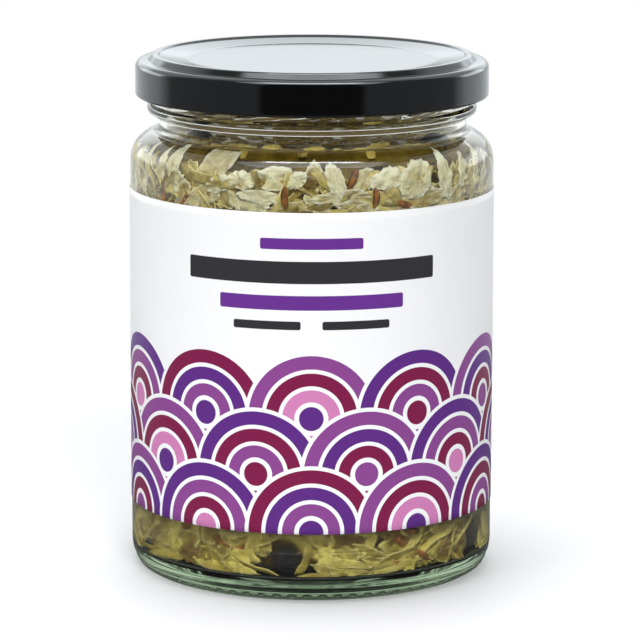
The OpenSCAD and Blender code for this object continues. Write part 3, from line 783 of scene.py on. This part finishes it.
berry_skin, tree, shader = new_material("juniper skin", Roughness=0.38, Specular_IOR_Level=0.3)
place = put(tree, "TexCoord")
bloom = put(tree, "TexNoise", [("Vector", place.outputs["Object"]), ("Scale", 300.0), ("Detail", 6.0)])
ramp = put(tree, "ValToRGB", [(0, bloom.outputs[0])])
ramp.color_ramp.elements[0].color = (0.006, 0.006, 0.011, 1)
ramp.color_ramp.elements[0].position = 0.4
ramp.color_ramp.elements[1].color = (0.035, 0.035, 0.055, 1)
ramp.color_ramp.elements[1].position = 0.75
tree.links.new(ramp.outputs[0], shader.inputs["Base Color"])
FLOAT_Z = LEVEL + 0.2
rng = np.random.default_rng(2)
for name, centre, tilt, turn in (("juniper_1", (-26.91, 2.83, FLOAT_Z), 0.5, 0.3),
                                 ("juniper_2", (28.19, -13.14, FLOAT_Z), 0.4, 1.2)):
    piece = make_piece("floating_" + name, *berry(centre, tilt, turn, rng), berry_skin, "juniper_skin")
    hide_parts(name)
points, faces, placed = [], [], 0
for angle, z, deep in ((-98.3, 9.8, 37.4), (-22.5, 10.6, 37.4)):
    a = np.radians(angle)
    ball, ball_faces = berry((deep * np.cos(a), deep * np.sin(a), z), 1.3, a + 1.6, rng)
    points.append(ball)
    faces += [f + placed for f in ball_faces]
    placed += len(ball)
make_piece("sunk_juniper", np.concatenate(points), faces, berry_skin, "juniper_skin")


# ---------------------------------------------------------------- Sealing compound
# A ring of off-white compound that was flowed into the lid and sits on the jar's rim.
COMPOUND_T = 1.15
RING_IN, RING_OUT = 36.5, 39.3
seal_line = graded(rounded([
    [RING_IN + 1, GLASS_H, 0], [FINISH_R + 0.05, GLASS_H, 0.1], [FINISH_R, GLASS_H + 0.15, 0.1],
    [RING_IN + 1.1, GLASS_H + COMPOUND_T - 0.15, 0.2], [RING_IN + 0.6, GLASS_H + COMPOUND_T - 0.15, 0.2],
    [RING_IN + 0.4, GLASS_H + COMPOUND_T - 0.5, 0.2], [RING_IN + 0.4, GLASS_H, 0.1],
    [RING_IN + 0.9, GLASS_H, 0]]), 1)
compound, tree, shader = new_material("sealing compound", Roughness=0.55)
place = put(tree, "TexCoord")
flow = put(tree, "TexNoise", [("Vector", place.outputs["Object"]), ("Scale", 400.0), ("Detail", 2.0)])
ramp = put(tree, "ValToRGB", [(0, flow.outputs[0])])
ramp.color_ramp.elements[0].color = (0.62, 0.60, 0.54, 1)
ramp.color_ramp.elements[1].color = (0.76, 0.74, 0.68, 1)
tree.links.new(ramp.outputs[0], shader.inputs["Base Color"])
seal = make_piece("sealing_ring", *turned(seal_line, 192), compound, "sealing_compound")
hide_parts("gasket")


# ---------------------------------------------------------------- Lid
# A twist-off lid pressed from 0.25 mm tinplate: a raised ring over the rim, a sunk panel with a
# second step, and a curl whose six lugs hook under the threads. Gloss black outside, gold inside.
SHEET, LID_H = 0.25, 9.9
LID_R = FINISH_R + 3.55 + SHEET
LID_TOP = GLASS_H + COMPOUND_T + SHEET
LID_FOOT = LID_TOP - LID_H
PANEL_DROP, BUTTON_DROP, BUTTON_R, CURL_R = 0.85, 0.4, 31.5, 0.62
skirt, top_z = LID_R - SHEET / 2, LID_TOP - SHEET / 2
curl_z = LID_FOOT + SHEET / 2 + CURL_R
middle_line = np.concatenate([
    graded(rounded([
        [0, top_z - PANEL_DROP - BUTTON_DROP, 0], [BUTTON_R - 1.6, top_z - PANEL_DROP - BUTTON_DROP, 8],
        [BUTTON_R + 1.6, top_z - PANEL_DROP, 8], [RING_IN - 0.2, top_z - PANEL_DROP / 2, 0.4],
        [RING_IN + 0.3, top_z, 0.4], [RING_OUT - 1.35, top_z, 0.6], [RING_OUT - 0.2, top_z - 1.4, 0.4],
        [skirt, top_z - 1.42, 2.0], [skirt, curl_z + 0.4, 0]], 10), 2.5),
    arc([skirt - CURL_R, curl_z], CURL_R, 0, -255, 22),
])


def sides_of(line, t):
    """The two lines at half the thickness t either side of a line: point + normal t / 2."""
    step = np.gradient(line, axis=0)
    normal = np.stack([-step[:, 1], step[:, 0]], 1) / np.linalg.norm(step, axis=1)[:, None] * t / 2
    return line + normal, line - normal


over, under = sides_of(middle_line, SHEET)
over[0, 0] = under[0, 0] = 0
LUG_ARC, LUG_FROM = np.radians(12.9), THREAD_FROM + THREAD_SWEEP * 0.22


def lid_shape(a, r, z):
    """Presses the curl inwards by 1.5 mm at six places, as an S curve of the distance to a lug."""
    phase = (a - LUG_FROM - LUG_ARC / 2 + np.pi / STARTS) % (2 * np.pi / STARTS) - np.pi / STARTS
    lug = smooth((LUG_ARC / 2 - np.abs(phase)) / np.radians(2.2) + 0.5)
    inward = smooth((skirt - 0.2 - r) / 0.9) * smooth((LID_FOOT + 2.0 - z) / 0.6) * (r > 40)
    return r - 1.5 * lug * inward, z


lacquer, tree, shader = new_material("black lid lacquer", Base_Color=(0.0016, 0.0015, 0.0016, 1), IOR=1.72)
place = put(tree, "TexCoord")
peel = put(tree, "TexNoise", [("Vector", place.outputs["Object"]), ("Scale", 700.0), ("Detail", 2.0)])
smear = put(tree, "TexNoise", [("Vector", place.outputs["Object"]), ("Scale", 45.0), ("Detail", 5.0)])
gloss = put(tree, "MapRange", [("Value", smear.outputs[0]), ("From Min", 0.3), ("From Max", 0.7),
                               ("To Min", 0.07), ("To Max", 0.12)])
tree.links.new(gloss.outputs[0], shader.inputs["Roughness"])
bump = put(tree, "Bump", [("Strength", 0.08), ("Distance", 0.0001), ("Height", peel.outputs[0])])
tree.links.new(bump.outputs[0], shader.inputs["Normal"])

lid_line = np.concatenate([under, over[::-1]])
points, faces = turned(lid_line, 360, lid_shape)
lid = make_piece("twist_off_lid", points, faces, lacquer, "lid_lacquer")
gold, tree, shader = new_material("gold inside lacquer", Base_Color=(0.82, 0.56, 0.18, 1), Roughness=0.3,
                                  Metallic=0.8)
place = put(tree, "TexCoord")
wash = put(tree, "TexNoise", [("Vector", place.outputs["Object"]), ("Scale", 90.0), ("Detail", 4.0)])
coat = put(tree, "MapRange", [("Value", wash.outputs[0]), ("To Min", 0.24), ("To Max", 0.42)])
tree.links.new(coat.outputs[0], shader.inputs["Roughness"])
lid.data.materials.append(gold)
inner_faces = np.zeros(len(lid.data.polygons), np.int32)
inner_faces[:(len(under) - 4) * 360] = 1
inner_faces[-720:-360] = 1
lid.data.polygons.foreach_set("material_index", inner_faces)
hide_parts("lid")


# ---------------------------------------------------------------- Label
# Coated white paper glued round the body, with a narrow gap at the back. Staggered rows of
# ringed scallops in violet, burgundy and pink fill its lower half, under plain centred bars.
PAPER_R, PAPER_T = BODY_R + 0.05, 0.12
LABEL_Z, LABEL_TOP, GAP_ARC = 16.7, 92.44, 12.0
LABEL_CM = (2 * np.pi * BODY_R - GAP_ARC) / 10, (LABEL_TOP - LABEL_Z) / 10
half_gap = GAP_ARC / BODY_R / 2
cols, rows = 300, 40
u, v = np.meshgrid(np.linspace(0, 1, cols), np.linspace(0, 1, rows))
label_angle = np.pi / 2 + half_gap + u * (2 * np.pi - 2 * half_gap)


def paper_side(r):
    """The label's sheet at radius r: (r cos a, r sin a, z), from the gap round to the gap."""
    z = LABEL_Z + v * (LABEL_TOP - LABEL_Z)
    return np.stack([r * np.cos(label_angle), r * np.sin(label_angle), z], -1).reshape(-1, 3)


front_index = np.arange(rows * cols).reshape(rows, cols)
sheet = np.stack([front_index[:-1, :-1], front_index[:-1, 1:],
                  front_index[1:, 1:], front_index[1:, :-1]], -1)
rim = np.concatenate([front_index[0], front_index[1:, -1], front_index[-1, -2::-1], front_index[-2:0:-1, 0]])
rim_next = np.roll(rim, -1)
faces = [sheet.reshape(-1, 4), (sheet + rows * cols)[..., ::-1].reshape(-1, 4),
         np.stack([rim_next, rim, rim + rows * cols, rim_next + rows * cols], -1)]

WHITE, CHARCOAL = (0.86, 0.865, 0.875), (0.030, 0.029, 0.035)
VIOLET, PURPLE, BURGUNDY = (0.105, 0.020, 0.215), (0.24, 0.055, 0.26), (0.20, 0.007, 0.060)
PINK, GRAPE = (0.60, 0.20, 0.44), (0.13, 0.028, 0.26)


def new_group(name, takes, gives):
    """A node group with named sockets, its tree and its two end nodes."""
    group = bpy.data.node_groups.new(name, "ShaderNodeTree")
    for key, kind in takes:
        group.interface.new_socket(key, in_out="INPUT", socket_type="NodeSocket" + kind)
    for key, kind in gives:
        group.interface.new_socket(key, in_out="OUTPUT", socket_type="NodeSocket" + kind)
    return group, group.nodes.new("NodeGroupInput"), group.nodes.new("NodeGroupOutput")


def blend(tree, mask, below, above):
    """The colour above where the mask is 1, and the colour below where it is 0."""
    node = put(tree, "Mix", data_type="RGBA")
    for socket, value in ((node.inputs[0], mask), (node.inputs[6], below), (node.inputs[7], above)):
        if isinstance(value, bpy.types.NodeSocket):
            tree.links.new(value, socket)
        else:
            socket.default_value = value
    return node.outputs[2]


# A scallop is a set of rings of ink round one centre. Its rings are at fixed shares of its radius.
scallop, takes, gives = new_group(
    "ringed scallop",
    [("Place", "Vector"), ("Centre X", "Float"), ("Centre Y", "Float"), ("Radius", "Float"),
     ("Outer", "Color"), ("Second", "Color"), ("Third", "Color"), ("Core", "Color"), ("Below", "Color")],
    [("Color", "Color")])
xyz = put(scallop, "SeparateXYZ", [(0, takes.outputs["Place"])])
dx = calc(scallop, "SUBTRACT", xyz.outputs[0], takes.outputs["Centre X"])
dx = calc(scallop, "WRAP", dx, -LABEL_CM[0] / 4, LABEL_CM[0] / 4)
dy = calc(scallop, "SUBTRACT", xyz.outputs[1], takes.outputs["Centre Y"])
far = calc(scallop, "SQRT", calc(scallop, "ADD", calc(scallop, "MULTIPLY", dx, dx),
                                 calc(scallop, "MULTIPLY", dy, dy)))
far = calc(scallop, "DIVIDE", far, takes.outputs["Radius"])
result = takes.outputs["Below"]
for share, ink in ((1.0, (*WHITE, 1)), (0.94, "Outer"), (0.74, (*WHITE, 1)), (0.68, "Second"),
                   (0.49, (*WHITE, 1)), (0.43, "Third"), (0.25, (*WHITE, 1)), (0.18, "Core")):
    inked = takes.outputs[ink] if isinstance(ink, str) else ink
    result = blend(scallop, calc(scallop, "LESS_THAN", far, share), result, inked)
scallop.links.new(result, gives.inputs[0])

# A bar is a rounded rectangle of ink.
bar, takes, gives = new_group(
    "plain bar", [("Place", "Vector"), ("Left", "Float"), ("Right", "Float"), ("Bottom", "Float"),
                 ("Top", "Float"), ("Ink", "Color"), ("Below", "Color")], [("Color", "Color")])
xyz = put(bar, "SeparateXYZ", [(0, takes.outputs["Place"])])
outsides = []
for axis, low, high in ((0, "Left", "Right"), (1, "Bottom", "Top")):
    low, high = takes.outputs[low], takes.outputs[high]
    centre = calc(bar, "MULTIPLY", calc(bar, "ADD", low, high), 0.5)
    reach = calc(bar, "MULTIPLY", calc(bar, "SUBTRACT", high, low), 0.5)
    off = calc(bar, "ABSOLUTE", calc(bar, "SUBTRACT", xyz.outputs[axis], centre))
    outsides.append(calc(bar, "MAXIMUM", calc(bar, "ADD", calc(bar, "SUBTRACT", off, reach), 0.05), 0.0))
gap = calc(bar, "SQRT", calc(bar, "ADD", calc(bar, "MULTIPLY", outsides[0], outsides[0]),
                             calc(bar, "MULTIPLY", outsides[1], outsides[1])))
bar.links.new(blend(bar, calc(bar, "LESS_THAN", gap, 0.05), takes.outputs["Below"], takes.outputs["Ink"]),
              gives.inputs[0])

paper, tree, shader = new_material("coated label paper", Roughness=0.36, IOR=1.5, Specular_IOR_Level=0.3)
wrap_uv = put(tree, "UVMap", uv_map="wrap")
to_cm = put(tree, "Mapping", [("Vector", wrap_uv.outputs[0]), ("Scale", (LABEL_CM[0], LABEL_CM[1], 1)),
                              ("Location", (-LABEL_CM[0] / 2, 0, 0))])
flat = to_cm.outputs[0]
INKS = (
    (VIOLET, PURPLE, BURGUNDY, PINK), (BURGUNDY, VIOLET, PURPLE, VIOLET), (PURPLE, BURGUNDY, PINK, VIOLET),
    (VIOLET, BURGUNDY, PURPLE, BURGUNDY), (PURPLE, VIOLET, BURGUNDY, PURPLE),
)
SCALLOP_R, SCALLOP_STEP, ROW_Y = 1.58, LABEL_CM[0] / 10, (2.75, 1.40, 0.05)
SCALLOPS = [((n - 2 + row % 2 / 2) * SCALLOP_STEP, y, *INKS[(n + 2 * row) % len(INKS)])
            for row, y in enumerate(ROW_Y) for n in range(5)]
colour = (*WHITE, 1)
for x, y, *inks in SCALLOPS:
    node = put(tree, "Group", node_tree=scallop)
    tree.links.new(flat, node.inputs["Place"])
    for key, value in (("Centre X", x), ("Centre Y", y), ("Radius", SCALLOP_R)):
        node.inputs[key].default_value = value
    for key, ink in zip(("Outer", "Second", "Third", "Core"), inks):
        node.inputs[key].default_value = (*ink, 1)
    if isinstance(colour, tuple):
        node.inputs["Below"].default_value = colour
    else:
        tree.links.new(colour, node.inputs["Below"])
    colour = node.outputs[0]
BARS = (
    (-1.20, 1.20, 6.72, 6.98, GRAPE), (-3.05, 3.05, 5.92, 6.44, CHARCOAL), (-2.20, 2.20, 5.30, 5.64, GRAPE),
    (-1.85, -0.25, 4.84, 5.04, CHARCOAL), (0.25, 1.85, 4.84, 5.04, CHARCOAL),
)
for left, right, low, high, ink in BARS:
    node = put(tree, "Group", [("Place", flat), ("Left", left), ("Right", right), ("Bottom", low),
                               ("Top", high), ("Ink", (*ink, 1)), ("Below", colour)], node_tree=bar)
    colour = node.outputs[0]
tree.links.new(colour, shader.inputs["Base Color"])
fibre = put(tree, "TexNoise", [("Vector", flat), ("Scale", 30.0), ("Detail", 3.0)])
press = put(tree, "Bump", [("Strength", 0.08), ("Distance", 0.0002), ("Height", fibre.outputs[0])])
tree.links.new(press.outputs[0], shader.inputs["Normal"])

points = np.concatenate([paper_side(PAPER_R + PAPER_T), paper_side(PAPER_R)])
label = make_piece("wrap_label", points, faces, paper, "label_paper")
wrap = label.data.uv_layers.new(name="wrap")
corner = np.zeros(len(label.data.loops), np.int32)
label.data.loops.foreach_get("vertex_index", corner)
at = np.stack([u.ravel(), v.ravel()], 1)
wrap.data.foreach_set("uv", np.concatenate([at, at])[corner].astype(np.float32).ravel())
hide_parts("label")


# ---------------------------------------------------------------- Table, light and camera
# A round white table under broad soft lights, in a room that is white behind the jar, grey at its
# sides and dark towards the viewer, as the black lid and the glass mirror it. Mirrors see the table
# at 15 % of its shading, a painted dark reflection.
TABLE_R = 0.30
rim = np.arange(96) * 2 * np.pi / 96
table_mesh = bpy.data.meshes.new("table")
table_mesh.from_pydata(np.stack([TABLE_R * np.cos(rim), TABLE_R * np.sin(rim), 0 * rim], 1).tolist(), [],
                       [tuple(range(96))])
table = bpy.data.objects.new("table", table_mesh)
bpy.context.scene.collection.objects.link(table)
matt, tree, shader = new_material("white table", Base_Color=(0.90, 0.915, 0.93, 1), Roughness=0.6)
place = put(tree, "TexCoord")
away = put(tree, "VectorMath", [(0, place.outputs["Object"])], operation="LENGTH").outputs["Value"]
fade = put(tree, "MapRange", [("Value", away), ("From Min", 0.06), ("From Max", 0.28)],
           interpolation_type="SMOOTHSTEP")
path = put(tree, "LightPath")
seen_ray = calc(tree, "MAXIMUM", path.outputs["Is Camera Ray"], path.outputs["Is Transmission Ray"])
white = put(tree, "Emission", [("Color", (1, 1, 1, 1)), ("Strength", 1.0)])
both = put(tree, "MixShader", [(0, calc(tree, "MULTIPLY", fade.outputs[0], seen_ray)),
                               (1, shader.outputs[0]), (2, white.outputs[0])])
# Painted reflection: rays off mirrors see the table 85 % black, as if it lay in shade.
mirror_shade = put(tree, "Emission", [("Strength", 0.0)])
shaded_in_mirrors = put(tree, "MixShader", [(0, calc(tree, "MULTIPLY", path.outputs["Is Glossy Ray"], 0.85)),
                                  (1, both.outputs[0]), (2, mirror_shade.outputs[0])])
tree.links.new(shaded_in_mirrors.outputs[0], tree.nodes["Material Output"].inputs["Surface"])
table_mesh.materials.append(matt)

world = bpy.data.worlds.new("studio")
bpy.context.scene.world = world
world.use_nodes = True
tree = world.node_tree
path = put(tree, "LightPath")
facing = put(tree, "SeparateXYZ", [(0, put(tree, "TexCoord").outputs["Generated"])])
flat_x, flat_y, rise = facing.outputs


def window(value, low, high, soft):
    """1 where the value is between low and high, with soft edges."""
    opens = put(tree, "MapRange", [("Value", value), ("From Min", low - soft), ("From Max", low + soft)])
    shuts = put(tree, "MapRange", [("Value", value), ("From Min", high + soft), ("From Max", high - soft)])
    return calc(tree, "MULTIPLY", opens.outputs[0], shuts.outputs[0])


level = calc(tree, "MULTIPLY_ADD", flat_x, flat_x, calc(tree, "MULTIPLY", flat_y, flat_y))
level = calc(tree, "SQRT", level)
behind = calc(tree, "DIVIDE", flat_y, calc(tree, "MAXIMUM", level, 0.001))
room_tone = put(tree, "ValToRGB", [(0, calc(tree, "MULTIPLY_ADD", behind, 0.5, 0.5))])
stops = room_tone.color_ramp
for position, grey in ((0.075, 0.03), (0.095, 0.22), (0.62, 0.24), (0.74, 1.0)):
    stop = stops.elements.new(position)
    stop.color = (grey, grey, grey, 1)
stops.elements.remove(stops.elements[0])
stops.elements.remove(stops.elements[-1])
# The room as black lacquer and glass mirror it: tall boxes at the back corners, a bright foot to
# the backdrop and a panel overhead. Mirrors see that panel further towards the front, with a
# brighter strip along its back edge, and all other rays see it straight above.
corners = calc(tree, "MULTIPLY", window(behind, 0.42, 0.86, 0.03), window(rise, 0.04, 0.34, 0.04))
above = calc(tree, "MAXIMUM", rise, 0.01)
overhead = calc(tree, "MULTIPLY", window(calc(tree, "DIVIDE", flat_x, above), -0.62, 0.62, 0.03),
                window(calc(tree, "DIVIDE", flat_y, above), -0.21, 0.17, 0.03))
high_front = calc(tree, "MULTIPLY", window(calc(tree, "DIVIDE", flat_x, above), -0.62, 0.62, 0.03),
                  window(calc(tree, "DIVIDE", flat_y, above), -0.60, -0.08, 0.03))
strip = calc(tree, "MULTIPLY", window(calc(tree, "DIVIDE", flat_x, above), -0.33, 0.33, 0.05),
             window(calc(tree, "DIVIDE", flat_y, above), -0.175, -0.06, 0.01))
overhead = put(tree, "Mix", [("Factor", path.outputs["Is Glossy Ray"]), (2, overhead),
                             (3, calc(tree, "MULTIPLY_ADD", strip, 5.0, high_front))]).outputs[0]
foot = calc(tree, "MULTIPLY", window(behind, 0.88, 1.1, 0.03), window(rise, 0.12, 0.45, 0.04))
room = calc(tree, "MULTIPLY_ADD", corners, 2.3, room_tone.outputs[0])
room = calc(tree, "MULTIPLY_ADD", overhead, 3.0, room)
room = calc(tree, "MULTIPLY_ADD", foot, 1.0, room)
glass_tone = put(tree, "MapRange", [("Value", behind), ("From Max", 0.3), ("To Min", 0.2),
                                    ("To Max", 1.14)]).outputs[0]
glass_tone = calc(tree, "MAXIMUM", glass_tone, window(rise, 0.2, 2.0, 0.1))
mirrored = put(tree, "Mix", [("Factor", path.outputs["Is Transmission Ray"]), (2, room),
                             (3, glass_tone)]).outputs[0]
other = put(tree, "Mix", [("Factor", path.outputs["Is Diffuse Ray"]), (2, mirrored), (3, 0.31)]).outputs[0]
final = put(tree, "Mix", [("Factor", path.outputs["Is Camera Ray"]), (2, other), (3, 1.0)]).outputs[0]
tree.links.new(final, tree.nodes["Background"].inputs["Strength"])
colour = (1, 1, 1, 1)
for kind, cast in (("Is Glossy Ray", (0.94, 1.0, 1.03, 1)), ("Is Transmission Ray", (1.0, 0.99, 0.93, 1))):
    node = put(tree, "Mix", [("Factor", path.outputs[kind])], data_type="RGBA")
    node.inputs[7].default_value = cast
    if isinstance(colour, tuple):
        node.inputs[6].default_value = colour
    else:
        tree.links.new(colour, node.inputs[6])
    colour = node.outputs[2]
tree.links.new(colour, tree.nodes["Background"].inputs["Color"])


def soft_light(name, at, towards, wide, high, power):
    """A rectangular lamp at a point in metres, turned towards another. Mirrors show the room instead."""
    lamp = bpy.data.lights.new(name, "AREA")
    lamp.shape, lamp.size, lamp.size_y, lamp.energy = "RECTANGLE", wide, high, power
    holder = bpy.data.objects.new(name, lamp)
    bpy.context.scene.collection.objects.link(holder)
    aim = (Vector(towards) - Vector(at)).to_track_quat("-Z", "Y")
    holder.matrix_world = Matrix.Translation(at) @ aim.to_matrix().to_4x4()
    holder.visible_camera = holder.visible_glossy = holder.visible_transmission = False


soft_light("left box", (-1.0, -1.0, 0.9), (0, 0, 0.07), 0.6, 0.8, 4.0)
soft_light("top box", (-0.1, 0.1, 1.3), (0, 0, 0.06), 0.8, 0.6, 8.0)
soft_light("front box", (0.25, -1.2, 1.1), (0, 0, 0.08), 0.4, 0.4, 11.0)
soft_light("low box", (-0.45, -1.5, 0.26), (0, 0, 0.10), 0.3, 0.3, 4.0)

CAMERA_BACK, CAMERA_UP = 0.950, 0.241164
PITCH, ROLL, AIM = np.radians(10.844), np.radians(0.1448), np.radians(-0.123)
camera = bpy.data.objects.new("camera", bpy.data.cameras.new("camera"))
bpy.context.scene.collection.objects.link(camera)
camera.data.sensor_width = 36.0
camera.data.lens = 225.44
camera.data.clip_start, camera.data.clip_end = 0.05, 20
camera.matrix_world = (Matrix.Translation((0, -CAMERA_BACK, CAMERA_UP)) @ Matrix.Rotation(AIM, 4, "Z")
                       @ Matrix.Rotation(np.pi / 2 - PITCH, 4, "X") @ Matrix.Rotation(ROLL, 4, "Z"))
bpy.context.scene.camera = camera
bpy.context.scene.view_settings.view_transform = "Standard"
